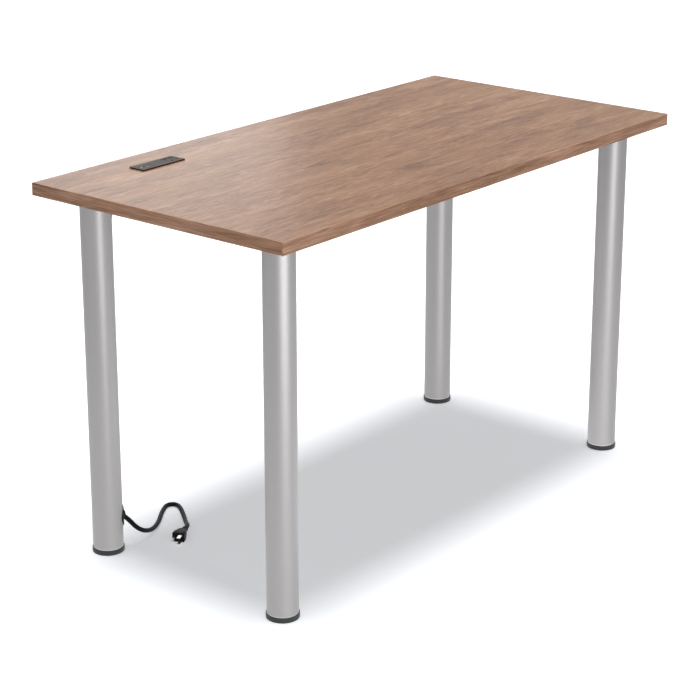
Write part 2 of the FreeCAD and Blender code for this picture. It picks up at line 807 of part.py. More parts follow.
def module_fasteners():
    wood_screw = screw_blank("bracket_screw", "bracket_screw_diameter",
                             "bracket_thickness + bracket_screw_bite",
                             "bracket_screw_head", "bracket_screw_head_height")
    seat = f"{UNDERSIDE} - bracket_thickness"
    copies("bracket_screws", wood_screw, [upright(x, y, seat) for x, y in BRACKET_SCREW_SPOTS])
    case_screw = screw_blank("case_screw", "case_screw_diameter", "base_thickness + case_screw_bite",
                             "case_screw_head", "case_screw_head_height")
    placements = []
    for side in (-1, 1):
        placements.append(upright(f"{MODULE_X} + {side}*{COVER_SCREW_X}",
                                  f"{MODULE_Y} + {side}*{COVER_SCREW_Y}",
                                  f"{HOUSING_BOTTOM} - base_thickness"))
        face = f"{MODULE_Y} + {side}*(housing_width/2 + bracket_thickness)"
        spot = Vector(amount(MODULE_X), amount(face), amount(BRACKET_SCREW_LEVEL))
        placements.append(FreeCAD.Placement(spot, FreeCAD.Rotation(UP, Vector(0, -side, 0))))
    copies("case_screws", case_screw, placements)


# Outlet
BLADES = {"line": (-1, "line_slot"), "neutral": (1, "neutral_slot")}
OUTLET_X = f"({MODULE_X} + {OUTLET_OFFSET})"


def outlet_body():
    """Insulating block with two blade slots and a round hole over its contact chambers."""
    shoulder = f"(desk_height - {OUTLET_BOTTOM})"
    outlet = block("outlet_body", "outlet_length + 2*outlet_shoulder", "outlet_width + 2*outlet_shoulder",
                   shoulder, OUTLET_X, MODULE_Y, OUTLET_BOTTOM)
    face = new_sketch(outlet, "XY_Plane", lift=shoulder)
    rectangle(face, "outlet_length", "outlet_width")
    pad(outlet, face, f"outlet_depth - {shoulder}")
    chambers = new_sketch(outlet, "XY_Plane")
    mouths = new_sketch(outlet, "XY_Plane")
    for side, slot in BLADES.values():
        x = f"{side}*blade_spacing/2"
        rectangle(chambers, "contact_width + 2*contact_clearance",
                  "contact_length + 2*contact_clearance", x, "blade_shift")
        rectangle(mouths, "slot_width", slot, x, "blade_shift")
    circle(chambers, "ground_hole/2 + ground_contact_wall + contact_clearance", "0", GROUND_SHIFT)
    circle(mouths, "ground_hole/2", "0", GROUND_SHIFT)
    pocket(outlet, chambers, "outlet_depth - outlet_face", along_normal=True)
    pocket(outlet, mouths, "outlet_depth", along_normal=True)
    return keep(outlet, "outlet_body")


def outlet_base():
    """Plate that closes the contact chambers, with holes for the wires."""
    plate = block("outlet_base", "outlet_length", "outlet_width", "outlet_base_thickness",
                  OUTLET_X, MODULE_Y, OUTLET_BASE_BOTTOM)
    holes = new_sketch(plate, "XY_Plane")
    for side, _ in BLADES.values():
        circle(holes, "wire_radius + case_clearance", f"{side}*blade_spacing/2", "blade_shift")
    circle(holes, "wire_radius + case_clearance", "0", GROUND_SHIFT)
    pocket(plate, holes, "outlet_base_thickness", along_normal=True)
    return keep(plate, "outlet_base")


def blade_contact(name, side):
    """Folded spring that grips a blade between two leaves."""
    contact = block(f"contact_{name}", "contact_width", "contact_length", CONTACT_HEIGHT,
                    f"{OUTLET_X} + {side}*blade_spacing/2", f"{MODULE_Y} + blade_shift", OUTLET_BOTTOM)
    gap = new_sketch(contact, "XY_Plane", lift="contact_web")
    rectangle(gap, "contact_width - 2*contact_wall", "contact_length + contact_clearance")
    pocket(contact, gap, f"{CONTACT_HEIGHT} - contact_web", along_normal=True)
    return keep(contact, f"contact_{name}")


def ground_contact():
    """Sleeve that takes a plug's round pin, closed at its foot."""
    bore = "(ground_hole/2)"
    wall = f"({bore} + ground_contact_wall)"
    sleeve = turned("contact_ground", [
        ("0", "0"), (wall, "0"), (wall, CONTACT_HEIGHT),
        (bore, CONTACT_HEIGHT), (bore, "contact_web"), ("0", "contact_web"),
    ])
    place(sleeve, OUTLET_X, f"{MODULE_Y} + {GROUND_SHIFT}", OUTLET_BOTTOM)
    return keep(sleeve, "contact_ground")


# Charging ports
def charging_ports():
    tongues = []
    for name, side in (("left", -1), ("right", 1)):
        x = f"{MODULE_X} + {PORT_OFFSET} + {side}*port_spacing/2"
        shell = block(f"usb_port_{name}", "port_length", "port_width", "port_depth", x, MODULE_Y, BOARD_TOP)
        inside = new_sketch(shell, "XY_Plane", lift="port_wall")
        rectangle(inside, "port_length - 2*port_wall", "port_width - 2*port_wall")
        pocket(shell, inside, "port_depth - port_wall", along_normal=True)
        keep(shell, f"usb_port_{name}")
        tongues.append(upright(x, f"{MODULE_Y} + tongue_shift", f"{BOARD_TOP} + port_wall"))
    tongue = block("tongue", "tongue_length", "tongue_width", "tongue_height", "0", "0", "0")
    document.recompute()
    copies("usb_tongues", tongue, tongues)


def charging_board():
    x = f"({MODULE_X} + {PORT_OFFSET})"
    keep(block("usb_board", "board_length", "board_width", "board_thickness", x, MODULE_Y, BOARD_BOTTOM),
         "usb_board")
    keep(block("usb_transformer", "transformer_length", "transformer_width", "transformer_height",
               f"{x} + transformer_shift", MODULE_Y, f"{BOARD_BOTTOM} - transformer_height"),
         "usb_transformer")
    capacitor = document.addObject("Part::Cylinder", "usb_capacitor")
    bind(capacitor, Radius="capacitor_radius", Height="capacitor_height")
    place(capacitor, f"{x} - capacitor_shift", MODULE_Y, f"{BOARD_BOTTOM} - capacitor_height")
    keep(capacitor, "usb_capacitor")


# Cord, wires and grommets
def rounded_path(points, radius_of):
    """Wire of straight runs joined by tangent arcs, with its length and its arcs' radii."""
    edges, radii = [], []
    start = points[0]
    for before, corner, after in zip(points, points[1:], points[2:]):
        arriving = (corner - before).normalize()
        leaving = (after - corner).normalize()
        turn = arriving.getAngle(leaving)
        shorter = min((corner - before).Length, (after - corner).Length)
        radius = radius_of(shorter, turn)
        reach = radius * math.tan(turn / 2)
        inward = (leaving - arriving).normalize()
        middle = corner + inward * (radius / math.cos(turn / 2) - radius)
        arc_start, arc_end = corner - arriving * reach, corner + leaving * reach
        edges.append(Part.LineSegment(start, arc_start).toShape())
        edges.append(Part.Arc(arc_start, middle, arc_end).toShape())
        radii.append(radius)
        start = arc_end
    edges.append(Part.LineSegment(start, points[-1]).toShape())
    return Part.Wire(edges), radii


def tube_along(label, points, radius, radius_of):
    """Round tube along a rounded path, checked against its section times its length."""
    path, radii = rounded_path(points, radius_of)
    section = Part.Wire(Part.makeCircle(radius, points[0], points[1] - points[0]))
    solid = path.makePipeShell([section], True, False)
    expected = math.pi * radius ** 2 * path.Length
    print(label, "length", round(path.Length, 1), "volume ratio", round(solid.Volume / expected, 4),
          "radii", [round(value, 1) for value in radii])
    feature = document.addObject("Part::Feature", label)
    feature.Shape = solid
    return keep(feature, label)


def leg_axis(corner, z):
    x, y = leg_spot(corner)
    return Vector(amount(x), amount(y), amount(z))


def cord_exit():
    """Point where the cord leaves its grommet, and its direction there."""
    heading = math.radians(amount("cord_exit_heading"))
    outward = Vector(math.cos(heading), math.sin(heading), 0)
    across = amount(f"{LEG_RADIUS} + cord_exit_reach")
    point = leg_axis("rear_left", "cord_exit_height - cord_exit_reach") + outward * across
    direction = outward * math.cos(CORD_SLANT) - UP * math.sin(CORD_SLANT)
    return point, direction


def held_cord():
    """Cord from the housing, through the leg and down it, to the grommet near the floor."""
    x, y = leg_spot("rear_left")
    drop = "(cord_entry_drop - housing_drop/2)"
    start = Vector(amount(f"{MODULE_X} - {INNER_LENGTH}/2 + jacket_inside"), amount(y), amount(CORD_LEVEL))
    bend = Vector(amount(f"{x} + {LEG_RADIUS} + {drop}"), amount(y), amount(CORD_LEVEL))
    upper = leg_axis("rear_left", f"{CORD_ENTRY_LEVEL} - {LEG_RADIUS}")
    lower = leg_axis("rear_left", f"cord_exit_height + {LEG_RADIUS}")
    exit_point, _ = cord_exit()
    bend_radius = amount("cord_bend")
    tube_along("cord_inside", [start, bend, upper, lower, exit_point], amount(CORD_RADIUS),
               lambda shorter, turn: bend_radius)


def free_cord_points():
    exit_point, direction = cord_exit()
    points = [exit_point, exit_point + direction * CORD_LEAD]
    foot = leg_axis("rear_left", "0")
    points += [foot + Vector(across, back, amount(up)) for across, back, up in CORD_ROUTE]
    return points


def free_cord():
    tube_along("cord_free", free_cord_points(), amount(CORD_RADIUS),
               lambda shorter, turn: RUN_SHARE * shorter / math.tan(turn / 2))


def strain_relief():
    """Tapered sleeve on the cord, held in the housing's end wall by a neck and a flange."""
    bore = CORD_BORE
    neck = f"({CORD_RADIUS} + relief_neck_wall)"
    sleeve = f"({CORD_RADIUS} + relief_wall)"
    tip = f"({CORD_RADIUS} + relief_tip_wall)"
    flange = f"({CORD_RADIUS} + relief_flange_wall)"
    inner = "-(housing_wall + relief_flange_thickness)"
    relief = turned("module_strain_relief", [
        (bore, inner), (flange, inner), (flange, "-housing_wall"), (neck, "-housing_wall"),
        (neck, "0"), (sleeve, "0"), (tip, "relief_length"), (bore, "relief_length"),
    ])
    relief.Placement = FreeCAD.Placement(Vector(), FreeCAD.Rotation(UP, Vector(-1, 0, 0)))
    place(relief, f"{MODULE_X} - housing_length/2", f"{MODULE_Y} + {RELIEF_Y}", CORD_LEVEL)
    return keep(relief, "module_strain_relief")


def grommet(label, level, heading, slope, flange_size):
    """Bush in the tube's wall: flange that hugs the tube, tapered boss, neck, inner lip and slanting bore.

    Slope is minus one where the cord falls on its way out of the leg and plus one where it rises.
    """
    radius, bore_radius = amount(LEG_RADIUS), amount(LEG_BORE)
    clearance = amount("grommet_clearance")
    flange, boss, tip = amount(f"{flange_size}/2"), amount("grommet_boss/2"), amount("grommet_tip/2")
    rim, dome = amount("grommet_rim"), amount("grommet_dome")
    lip, neck = amount("grommet_lip/2"), amount("grommet_hole/2 - grommet_clearance")
    thickness = amount("grommet_lip_thickness")
    tall = 2 * flange
    outward = Vector(1, 0, 0)

    def upright_cylinder(size):
        return Part.makeCylinder(size, 2 * tall, Vector(0, 0, -tall))

    skirt = Part.makeCylinder(flange, radius + rim, Vector(), outward).common(upright_cylinder(radius + rim))
    cone_start = math.sqrt(radius ** 2 - boss ** 2)
    cone = Part.makeCone(boss, tip, radius + dome - cone_start, Vector(cone_start, 0, 0), outward)
    outer = skirt.fuse(cone).cut(upright_cylinder(radius + clearance))
    lip_start = math.sqrt(bore_radius ** 2 - lip ** 2) - thickness
    inner = Part.makeCylinder(lip, radius - lip_start, Vector(lip_start, 0, 0), outward)
    inner = inner.common(upright_cylinder(bore_radius - clearance))
    through = Part.makeCylinder(neck, radius + rim - lip_start, Vector(lip_start, 0, 0), outward)
    along = Vector(math.cos(CORD_SLANT), 0, slope * math.sin(CORD_SLANT))
    passage = Part.makeCylinder(amount(CORD_BORE), 2 * tall, Vector(radius, 0, 0) - along * tall, along)
    solid = outer.fuse([inner, through]).cut(passage).removeSplitter()
    bush = document.addObject("Part::Feature", label)
    bush.Shape = solid.Solids[0]
    turn = FreeCAD.Rotation(UP, amount(heading))
    bush.Placement = FreeCAD.Placement(leg_axis("rear_left", level), turn)
    return keep(bush, label)


def wires():
    """Three conductors from the end of the jacket to the feet of the outlet's contacts."""
    x_start = amount(f"{MODULE_X} - {INNER_LENGTH}/2 + jacket_inside")
    y_start, level = amount(leg_spot("rear_left")[1]), amount(CORD_LEVEL)
    spread = amount("wire_spread")
    bend, lead, approach = amount("wire_bend"), amount("wire_lead"), amount("wire_approach")
    targets = {
        "wire_neutral": ("blade_spacing/2", "blade_shift", -1),
        "wire_line": ("-blade_spacing/2", "blade_shift", 0),
        "wire_ground": ("0", GROUND_SHIFT, 1),
    }
    for label, (across, back, rank) in targets.items():
        x, y = amount(f"{OUTLET_X} + {across}"), amount(f"{MODULE_Y} + {back}")
        z = level + rank * spread
        foot = Vector(x, y, amount(OUTLET_BOTTOM))
        points = [
            Vector(x_start, y_start, z),
            Vector(x_start + lead, y_start, z),
            Vector(x - approach, y, z),
            Vector(x, y, z),
            foot,
        ]
        tube_along(label, points, amount("wire_radius"), lambda shorter, turn: bend)


# Plug
def plug_placement():
    """Plug's own frame at the end of the cord: X towards its blades, Z up."""
    before, neck = free_cord_points()[-2:]
    heading = math.degrees(math.atan2(neck.y - before.y, neck.x - before.x))
    return FreeCAD.Placement(neck, FreeCAD.Rotation(UP, heading))


def rounded_section(x, width, height, radius):
    """Closed outline across the plug: a rectangle with round corners."""
    half_width, half_height = width / 2, height / 2
    corner = radius * (1 - math.sqrt(0.5))
    edges = []
    for side, level in ((1, 1), (-1, 1), (-1, -1), (1, -1)):
        flat_side = Vector(x, side * half_width, level * (half_height - radius))
        flat_top = Vector(x, side * (half_width - radius), level * half_height)
        middle = Vector(x, side * (half_width - corner), level * (half_height - corner))
        ends = (flat_side, flat_top) if side * level > 0 else (flat_top, flat_side)
        edges.append(Part.Arc(ends[0], middle, ends[1]).toShape())
    joined = []
    for index, edge in enumerate(edges):
        following = edges[(index + 1) % len(edges)]
        joined.append(edge)
        joined.append(Part.LineSegment(edge.lastVertex().Point, following.firstVertex().Point).toShape())
    return Part.Wire(joined)


def plug_body():
    """Moulded body that widens to its face, on a ribbed strain relief."""
    start, length = amount("plug_relief_length"), amount("plug_body_length")
    shoulder = amount("plug_shoulder_length")
    width, height = amount("plug_width"), amount("plug_height")
    grip, corner = amount("plug_grip"), amount("plug_round")
    sections = [
        rounded_section(start, width - 2 * grip, height - grip, corner),
        rounded_section(start + shoulder, width - grip, height - grip / 2, corner),
        rounded_section(start + length - shoulder, width, height, corner),
        rounded_section(start + length, width, height, corner),
    ]
    body = Part.makeLoft(sections, True, True)
    tip = amount(f"{CORD_RADIUS} + plug_relief_wall")
    end = amount(f"{CORD_RADIUS} + plug_relief_end_wall")
    groove, rib = amount("plug_relief_groove"), amount("plug_relief_rib")
    relief = Part.makeCone(tip, end, start, Vector(), Vector(1, 0, 0))
    rib_count = int(start / (2 * rib))
    for index in range(rib_count):
        x = rib * (2 * index + 1)
        radius = tip + (end - tip) * x / start
        ring = Part.makeCylinder(2 * end, rib, Vector(x, 0, 0), Vector(1, 0, 0))
        core = Part.makeCylinder(radius - groove, rib, Vector(x, 0, 0), Vector(1, 0, 0))
        relief = relief.cut(ring.cut(core))
    feature = document.addObject("Part::Feature", "plug_body")
    feature.Shape = body.fuse(relief).cut(plug_pins("blades", "pin")).removeSplitter().Solids[0]
    feature.Placement = plug_placement()
    return keep(feature, "plug_body")


def plug_pins(*wanted):
    """Blades, round pin, or both, in the plug's frame."""
    face = amount("plug_relief_length + plug_body_length")
    root = amount("blade_root")
    thickness, width = amount("blade_thickness"), amount("blade_width")
    shift = amount("ground_spacing/2")
    blades = []
    for level in (-1, 1):
        z = level * amount("blade_spacing/2") - thickness / 2
        corner = Vector(face - root, shift - width / 2, z)
        blades.append(Part.makeBox(amount("blade_length") + root, width, thickness, corner))
    radius = amount("ground_pin_radius")
    straight = amount("ground_pin_length") - radius
    middle = Vector(face + straight, -shift, 0)
    pin = Part.makeCylinder(radius, straight + root, Vector(face - root, -shift, 0), Vector(1, 0, 0))
    pin = pin.fuse(Part.makeSphere(radius, middle)).removeSplitter()
    metal = {"blades": blades, "pin": [pin]}
    return Part.makeCompound([solid for name in wanted for solid in metal[name]])


def plug_metal():
    for label, wanted in (("plug_blades", "blades"), ("plug_ground_pin", "pin")):
        feature = document.addObject("Part::Feature", label)
        feature.Shape = plug_pins(wanted)
        feature.Placement = plug_placement()
        keep(feature, label)


def build():
    top()
    for corner in CORNERS:
        leg_tube(corner)
        leg_mount(corner)
        foot_insert(corner)
        foot_stem(corner)
        foot_pad(corner)
    leg_fasteners()
    foot_nuts()
    module_bezel()
    module_housing()
    module_base()
    module_brackets()
    module_fasteners()
    outlet_body()
    outlet_base()
    for name, (side, _) in BLADES.items():
        blade_contact(name, side)
    ground_contact()
    charging_ports()
    charging_board()
    strain_relief()
    held_cord()
    grommet("entry_grommet", CORD_ENTRY_LEVEL, "0", 1, "entry_flange")
    grommet("exit_grommet", "cord_exit_height", "cord_exit_heading", -1, "exit_flange")
    wires()
    free_cord()
    plug_body()
    plug_metal()


def write():
    """Checks every object and piece, then writes one file for each piece."""
    document.recompute()
    for item in document.Objects:
        if "Invalid" in item.State or "Error" in item.State:
            raise ValueError(f"{item.Label} failed: {item.State}")
    for node in nodes:
        if node.Shape.isNull() or not node.Shape.isValid() or not node.Shape.Solids:
            raise ValueError(f"{node.Label} has no sound shape")
    os.makedirs("parts", exist_ok=True)
    for node in nodes:
        node.Shape.exportStep(f"parts/{node.Label}.step")
    print(len(nodes), "pieces written")


build()
write()
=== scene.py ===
import math

import bpy
import numpy as np
from bpy.props import FloatProperty, FloatVectorProperty, PointerProperty
from mathutils import Matrix, Vector


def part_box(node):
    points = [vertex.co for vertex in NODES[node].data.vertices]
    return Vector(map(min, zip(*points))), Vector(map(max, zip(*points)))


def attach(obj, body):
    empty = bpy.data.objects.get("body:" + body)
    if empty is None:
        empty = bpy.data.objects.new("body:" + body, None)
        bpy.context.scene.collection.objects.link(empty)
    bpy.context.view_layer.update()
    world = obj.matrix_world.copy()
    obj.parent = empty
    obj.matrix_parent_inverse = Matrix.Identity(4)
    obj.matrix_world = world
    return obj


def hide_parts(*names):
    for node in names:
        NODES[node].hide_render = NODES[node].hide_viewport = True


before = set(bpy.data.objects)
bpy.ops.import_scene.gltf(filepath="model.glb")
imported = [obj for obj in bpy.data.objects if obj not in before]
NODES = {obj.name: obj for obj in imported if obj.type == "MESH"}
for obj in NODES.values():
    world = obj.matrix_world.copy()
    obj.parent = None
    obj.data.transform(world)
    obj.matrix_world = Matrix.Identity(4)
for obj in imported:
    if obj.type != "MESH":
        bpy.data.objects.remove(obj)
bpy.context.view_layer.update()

bl_info = {
    "name": "Writing desk",
    "version": (1, 0, 0),
    "blender": (4, 5, 0),
    "location": "View3D > Sidebar > Desk",
    "description": "Finishes the writing desk's pieces, lays its cord and sets up its stage",
    "category": "Object",
}

CORNERS = ("rear_left", "rear_right", "front_left", "front_right")


def linear(red, green, blue):
    """A colour as a paint card gives it, 0 to 255, in the linear values that shaders take."""
    card = np.array((red, green, blue)) / 255
    return tuple(np.where(card <= 0.04045, card / 12.92, ((card + 0.055) / 1.055) ** 2.4))


def colour(label, text, *card):
    """A setting for a colour, given as a paint card gives it."""
    return FloatVectorProperty(name=label, description=text, default=linear(*card),
                               subtype="COLOR", size=3, min=0, max=1)


def share(label, text, default):
    """A setting from nought to one."""
    return FloatProperty(name=label, description=text, default=default,
                         subtype="FACTOR", min=0, max=1)


def length(label, text, default):
    """A setting in metres."""
    return FloatProperty(name=label, description=text, default=default, unit="LENGTH", min=0)


def watts(label, text, default):
    """A setting for the power of a lamp."""
    return FloatProperty(name=label, description=text, default=default, unit="POWER", min=0)


# Settings
class WoodSettings(bpy.types.PropertyGroup):
    """Printed walnut of the top and its edge bands."""
    dark: colour("Dark streaks", "Colour of the darkest streaks of the top", 104, 72, 53)
    middle: colour("Middle", "Main colour of the top", 136, 98, 72)
    pale: colour("Pale streaks", "Colour of the palest streaks of the top", 169, 133, 105)
    amber: colour("Warm patches", "Colour of the broad warm patches", 148, 110, 79)
    # The edge bands' main and pale colours are paler than the top's, as painted light on the
    # upright edges.
    edge_dark: colour("Edge streaks", "Colour of the darkest streaks of the edge bands",
                      100, 70, 55)
    edge_middle: colour("Edge", "Main colour of the edge bands", 169, 129, 106)
    edge_pale: colour("Edge, pale streaks", "Colour of the palest streaks of the edge bands",
                      208, 167, 141)
    streak_length: length("Streak length", "Usual length of a fine streak along the grain", 0.045)
    streak_width: length("Streak width", "Usual width of a fine streak across the grain", 0.0022)
    roughness: share("Roughness", "Roughness of the top's face", 0.31)


class MetalSettings(bpy.types.PropertyGroup):
    """Painted, plated and bare metal."""
    paint: colour("Silver paint", "Colour of the legs' satin paint", 174, 172, 172.7)
    paint_roughness: share("Paint roughness", "Roughness of the legs' satin paint", 0.44)
    rim: colour("Rim", "Colour of the bare rim at a leg's lower end", 200, 200, 200)
    plate: colour("Plating", "Colour of plated screws, nuts and stems", 188, 188, 184)
    casting: colour("Casting", "Colour of the leg mounts and brackets", 150, 152, 154)
    brass: colour("Brass", "Colour of the outlet's contacts", 160, 134, 80)
    port: colour("Ports", "Colour of the charging ports' shells", 168, 170, 172)
    pins: colour("Pins", "Colour of the plug's nickel-plated blades and pin", 190, 189, 184)


class PlasticSettings(bpy.types.PropertyGroup):
    """Moulded plastic and rubber."""
    foot: colour("Foot", "Colour of the pads under the legs", 52, 53, 55)
    insert: colour("Insert", "Colour of the inserts in the legs' lower ends", 58, 58, 60)
    bezel: colour("Module", "Colour of the power module's face", 50, 41, 35)
    case: colour("Case", "Colour of the module's housing under the top", 34, 34, 36)
    tongue: colour("Tongue", "Colour of the tongues in the charging ports", 206, 205, 200)
    component: colour("Component", "Colour of the parts on the charging board", 40, 40, 46)
    rubber: colour("Rubber", "Colour of the grommets, the strain relief and the plug", 24, 24, 26)
    jacket: colour("Cord jacket", "Colour of the cord", 22, 22, 24)


class FeetSettings(bpy.types.PropertyGroup):
    """Threaded stems of the levelling feet."""
    head_height: length("Head height", "Height of the flat head at the stem's lower end", 0.0048)
    shank_radius: length("Shank radius", "Radius over the thread's crests", 0.005)
    pitch: length("Pitch", "Height that the thread climbs in one turn", 0.0015)
    thread_depth: length("Thread depth", "Depth of the thread's roots below its crests", 0.0009)
    bevel: length("Bevel", "Bevel at the stem's upper end", 0.001)


class CordSettings(bpy.types.PropertyGroup):
    """The free end of the supply cord."""
    diameter: length("Diameter", "Diameter of the cord over its jacket", 0.0092)


class StageSettings(bpy.types.PropertyGroup):
    """Light, floor and camera."""
    ambient: FloatProperty(name="Ambient", description="Light from all round", default=0.2, min=0)
    overhead: FloatProperty(name="Overhead", default=1, min=0,
                            description="Light from straight above, as a share of full light")
    overhead_spread: FloatProperty(name="Overhead spread", default=math.radians(20), min=0,
                                   subtype="ANGLE", description="Width of the light from above")
    front: watts("Front", "Power of the lamp that lights the front", 14)
    side: watts("Side", "Power of the low lamp that the legs reflect", 12.3)
    low: watts("Low", "Power of the lamp at the floor that the right legs reflect", 0.48)
    sheen: watts("Sheen", "Power of the lamp behind the desk", 5.7)
    floor_glow: share("Floor glow", "White added to the floor as the camera sees it", 0.44)
    lens: FloatProperty(name="Lens", default=106.65, min=1,
                        description="Focal length on a 36 mm wide sensor, in millimetres")


# Shaders
class Value:
    """A shader value, on which arithmetic adds the Math nodes that work it out."""

    def __init__(self, finish, socket):
        self.finish = finish
        self.socket = socket

    def math(self, operation, other, swapped=False):
        terms = (other, self) if swapped else (self, other)
        return self.finish.add("ShaderNodeMath", {"operation": operation}, dict(enumerate(terms)))

    def __add__(self, other):
        return self.math("ADD", other)

    def __sub__(self, other):
        return self.math("SUBTRACT", other)

    def __rsub__(self, other):
        return self.math("SUBTRACT", other, swapped=True)

    def __mul__(self, other):
        return self.math("MULTIPLY", other)

    __radd__ = __add__
    __rmul__ = __mul__


class Finish:
    """A material in the making: one surface shader and the nodes that feed it."""

    def __init__(self, name, **constants):
        self.material = bpy.data.materials.new(name)
        self.material.use_nodes = True
        self.tree = self.material.node_tree
        self.tree.nodes.clear()
        self.shader = self.tree.nodes.new("ShaderNodeBsdfPrincipled")
        output = self.tree.nodes.new("ShaderNodeOutputMaterial")
        self.tree.links.new(self.shader.outputs[0], output.inputs["Surface"])
        self.point = self.add("ShaderNodeTexCoord", output="Object")
        for key, value in constants.items():
            socket = key.replace("_", " ").title().replace("Ior", "IOR")
            self.feed(self.shader.inputs[socket], value)

    def add(self, kind, settings=None, sockets=None, output=0):
        """Adds a node, first its settings, then its sockets' values or links by name or number."""
        node = self.tree.nodes.new(kind)
        for name, value in (settings or {}).items():
            if name == "stops":
                self.set_stops(node.color_ramp, value)
            else:
                setattr(node, name, value)
        for key, value in (sockets or {}).items():
            self.feed(node.inputs[key], value)
        return Value(self, node.outputs[output])

    def feed(self, socket, value):
        if isinstance(value, Value):
            self.tree.links.new(value.socket, socket)
        elif socket.type == "RGBA" and len(value) == 3:
            socket.default_value = (*value, 1)
        else:
            socket.default_value = value

    @staticmethod
    def set_stops(ramp, stops):
        for _ in stops[2:]:
            ramp.elements.new(0.5)
        for element, (place, tone) in zip(ramp.elements, stops):
            element.position = place
            element.color = (*tone, 1)

    def parts(self, vector):
        """The three coordinates of a vector."""
        first = self.add("ShaderNodeSeparateXYZ", sockets={0: vector})
        return [Value(self, output) for output in first.socket.node.outputs]

    def place(self, size, shift=(0, 0, 0)):
        """The point in units of this size, one number or one for each axis, in metres."""
        scale = tuple(1 / np.broadcast_to(size, 3))
        return self.add("ShaderNodeMapping", {"vector_type": "POINT"},
                        {"Vector": self.point, "Location": shift, "Scale": scale})

    def noise(self, size, detail=2, shift=(0, 0, 0), warp=0):
        """Noise of about this feature size."""
        return self.add("ShaderNodeTexNoise", {"noise_dimensions": "3D"},
                        {"Vector": self.place(size, shift), "Scale": 1, "Detail": detail,
                         "Distortion": warp})

    def flakes(self, size):
        """Cells of about this size, each with its own tone."""
        cells = self.add("ShaderNodeTexVoronoi", {"feature": "F1"},
                         {"Vector": self.place(size), "Scale": 1}, "Color")
        return self.parts(cells)[0]

    def rise(self, value, low, high):
        """Nought below one level and one above another, with a smooth rise between."""
        return self.add("ShaderNodeMapRange", {"interpolation_type": "SMOOTHSTEP"},
                        {"Value": value, "From Min": low, "From Max": high})

    def ramp(self, value, *stops):
        return self.add("ShaderNodeValToRGB", {"stops": stops}, {0: value})

    def mix(self, factor, first, second):
        return self.add("ShaderNodeMix", {"data_type": "RGBA"}, {0: factor, 6: first, 7: second}, 2)

    def bump(self, height, depth):
        """Relief of about this depth, in metres."""
        normal = self.add("ShaderNodeBump", sockets={"Height": height, "Distance": depth})
        self.feed(self.shader.inputs["Normal"], normal)

    def paint(self, tone=None, roughness=None, metallic=None):
        fed = {"Base Color": tone, "Roughness": roughness, "Metallic": metallic}
        for socket, value in fed.items():
            if value is not None:
                self.feed(self.shader.inputs[socket], value)


def shade(tone, factor):
    """A colour made darker or paler by one factor."""
    return tuple(min(1, part * factor) for part in tone)


def assign(material, *names):
    """Gives CAD nodes their finish."""
    for name in names:
        for place in NODES[name].material_slots:
            place.material = material


def each_corner(prefix):
    """The names of the four nodes of one kind."""
    return [f"{prefix}_{corner}" for corner in CORNERS]


# Finishes
def walnut(name, along, dark, middle, pale, wood, roughness, drawn=1, thin=1):
    """Printed walnut: broad bands, fine short streaks and pores, all drawn out along one axis.

    The fine streaks are longer and thinner than their settings by the factors drawn and thin.
    """
    finish = Finish(name, specular_ior_level=0.06)

    def streaks(long, wide, detail, seed, warp=0):
        size = [wide] * 3
        size[along] = long
        return finish.noise(size, detail, (seed, seed * 1.7, seed * 0.6), warp)

    fine_length, fine_width = wood.streak_length * drawn, wood.streak_width / thin
    broad = streaks(0.3, 0.05, detail=2, seed=3.1, warp=0.6)
    strokes = streaks(fine_length * 1.2, fine_width * 3.8, detail=3, seed=11.7, warp=0.9)
    fine = streaks(fine_length * 0.5, fine_width, detail=3, seed=5.3, warp=0.6)
    pores = streaks(fine_length * 0.4, fine_width * 0.5, detail=2, seed=8.9)
    flecks = streaks(fine_length * 0.4, fine_width * 1.4, detail=2, seed=21.3, warp=0.5)
    patches = streaks(0.2, 0.035, detail=2, seed=31.7, warp=0.8)
    figure = broad * 0.34 + strokes * 0.44 + fine * 0.22
    tone = finish.ramp(figure, (0.36, dark), (0.5, middle), (0.64, pale))
    tone = finish.mix(finish.rise(patches, 0.42, 0.62) * 0.4, tone, tuple(wood.amber))
    tone = finish.mix(finish.rise(pores, 0.56, 0.74) * 0.4, tone, dark)
    tone = finish.mix(finish.rise(flecks, 0.6, 0.74) * 0.6, tone, pale)
    finish.paint(tone, roughness + 0.1 * (fine - 0.5))
    finish.bump(fine * 0.6 - finish.rise(pores, 0.55, 0.75), 0.00006)
    return finish.material


def particle_board():
    """Pressed board of wood chips and dust."""
    finish = Finish("particle_board", roughness=0.85)
    chips = finish.flakes((0.004, 0.004, 0.0015))
    dust = finish.noise(0.0012, detail=3)
    finish.paint(finish.ramp(chips * 0.7 + dust * 0.3, (0.1, linear(150, 116, 78)),
                             (0.5, linear(188, 154, 110)), (0.9, linear(214, 186, 144))))
    finish.bump(chips + dust, 0.0002)
    return finish.material


def backer_sheet():
    """Resin-soaked paper, brown and faintly mottled, with the marks of its sanding."""
    finish = Finish("backer_sheet")
    cloud = finish.noise(0.12, detail=4)
    sanding = finish.noise((0.12, 0.0012, 0.0012))
    tone = finish.ramp(cloud * 0.7 + sanding * 0.3,
                       (0.3, linear(84, 66, 54)), (0.7, linear(112, 90, 74)))
    finish.paint(tone, 0.6 + 0.15 * sanding)
    finish.bump(sanding, 0.00004)
    return finish.material


# Heights between which the bare rim at a leg's lower end gives way to paint, in metres
LEG_RIM = 0.0115, 0.013


